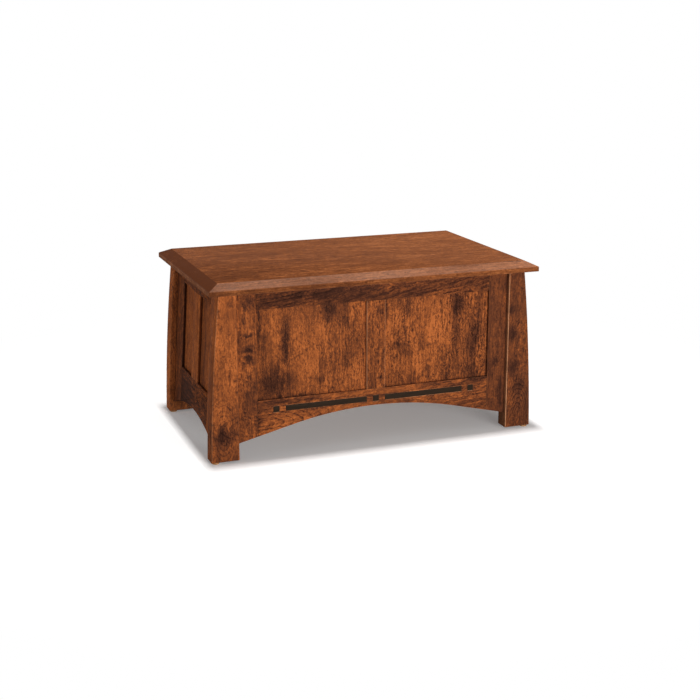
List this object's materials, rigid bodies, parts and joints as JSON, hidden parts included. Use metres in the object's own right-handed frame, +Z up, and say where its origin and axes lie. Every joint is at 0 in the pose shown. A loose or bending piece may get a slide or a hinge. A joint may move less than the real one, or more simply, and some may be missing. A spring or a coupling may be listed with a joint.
{
  "type": "blanket chest",
  "caption": "Frame-and-panel wooden blanket chest with flared posts, arched lower rails, dark inlay in the front and a bevelled lid that hinges along the back.",
  "frame": {"origin": "on the floor, under the middle of the chest", "axes": "+X runs to the right along the front, +Y runs from the front to the hinged back, +Z is up"},
  "size_m": [0.99, 0.612, 0.512],
  "materials": {
    "lid_wood": "reddish-brown stained and varnished wood, satin",
    "frame_wood": "reddish-brown stained and varnished wood with dark blotches, satin",
    "panel_wood": "reddish-brown stained and varnished wood with figured vertical grain, satin",
    "post_wood": "reddish-brown stained and varnished wood, satin",
    "inner_wood": "plain unstained cedar, oiled",
    "ebony": "near-black ebony, polished",
    "hinge_brass": "aged brass",
    "glide": "tan nylon"
  },
  "bodies": {
    "case": {"post_front_left": "post_wood", "post_front_right": "post_wood", "post_back_left": "post_wood", "post_back_right": "post_wood", "glide_front_left": "glide", "glide_front_right": "glide", "glide_back_left": "glide", "glide_back_right": "glide", "front_top_rail": "frame_wood", "front_bottom_rail": "frame_wood", "front_center_stile": "frame_wood", "front_left_stile": "frame_wood", "front_right_stile": "frame_wood", "front_left_panel": "panel_wood", "front_right_panel": "panel_wood", "inlay_square_left": "ebony", "inlay_square_center": "ebony", "inlay_square_right": "ebony", "inlay_bar_left": "ebony", "inlay_bar_right": "ebony", "back_top_rail": "frame_wood", "back_bottom_rail": "frame_wood", "back_center_stile": "frame_wood", "back_left_stile": "frame_wood", "back_right_stile": "frame_wood", "back_left_panel": "panel_wood", "back_right_panel": "panel_wood", "left_top_rail": "frame_wood", "left_bottom_rail": "frame_wood", "left_center_stile": "frame_wood", "left_front_stile": "frame_wood", "left_back_stile": "frame_wood", "left_front_panel": "panel_wood", "left_back_panel": "panel_wood", "right_top_rail": "frame_wood", "right_bottom_rail": "frame_wood", "right_center_stile": "frame_wood", "right_front_stile": "frame_wood", "right_back_stile": "frame_wood", "right_front_panel": "panel_wood", "right_back_panel": "panel_wood", "chest_floor": "inner_wood", "floor_cleat_front": "inner_wood", "floor_cleat_back": "inner_wood", "floor_cleat_left": "inner_wood", "floor_cleat_right": "inner_wood", "hinge_left_case_leaf": "hinge_brass", "hinge_left_pin": "hinge_brass", "hinge_center_case_leaf": "hinge_brass", "hinge_center_pin": "hinge_brass", "hinge_right_case_leaf": "hinge_brass", "hinge_right_pin": "hinge_brass"},
    "lid": {"lid": "lid_wood", "lid_batten_left": "inner_wood", "lid_batten_right": "inner_wood", "hinge_left_lid_leaf": "hinge_brass", "hinge_center_lid_leaf": "hinge_brass", "hinge_right_lid_leaf": "hinge_brass"}
  },
  "joints": [
    {"name": "lid_hinge", "type": "hinge", "parent": "case", "child": "lid", "pos_m": [0, 0.2878, 0.4757], "axis": [-1, 0, 0], "range_deg": [0, 90]}
  ]
}
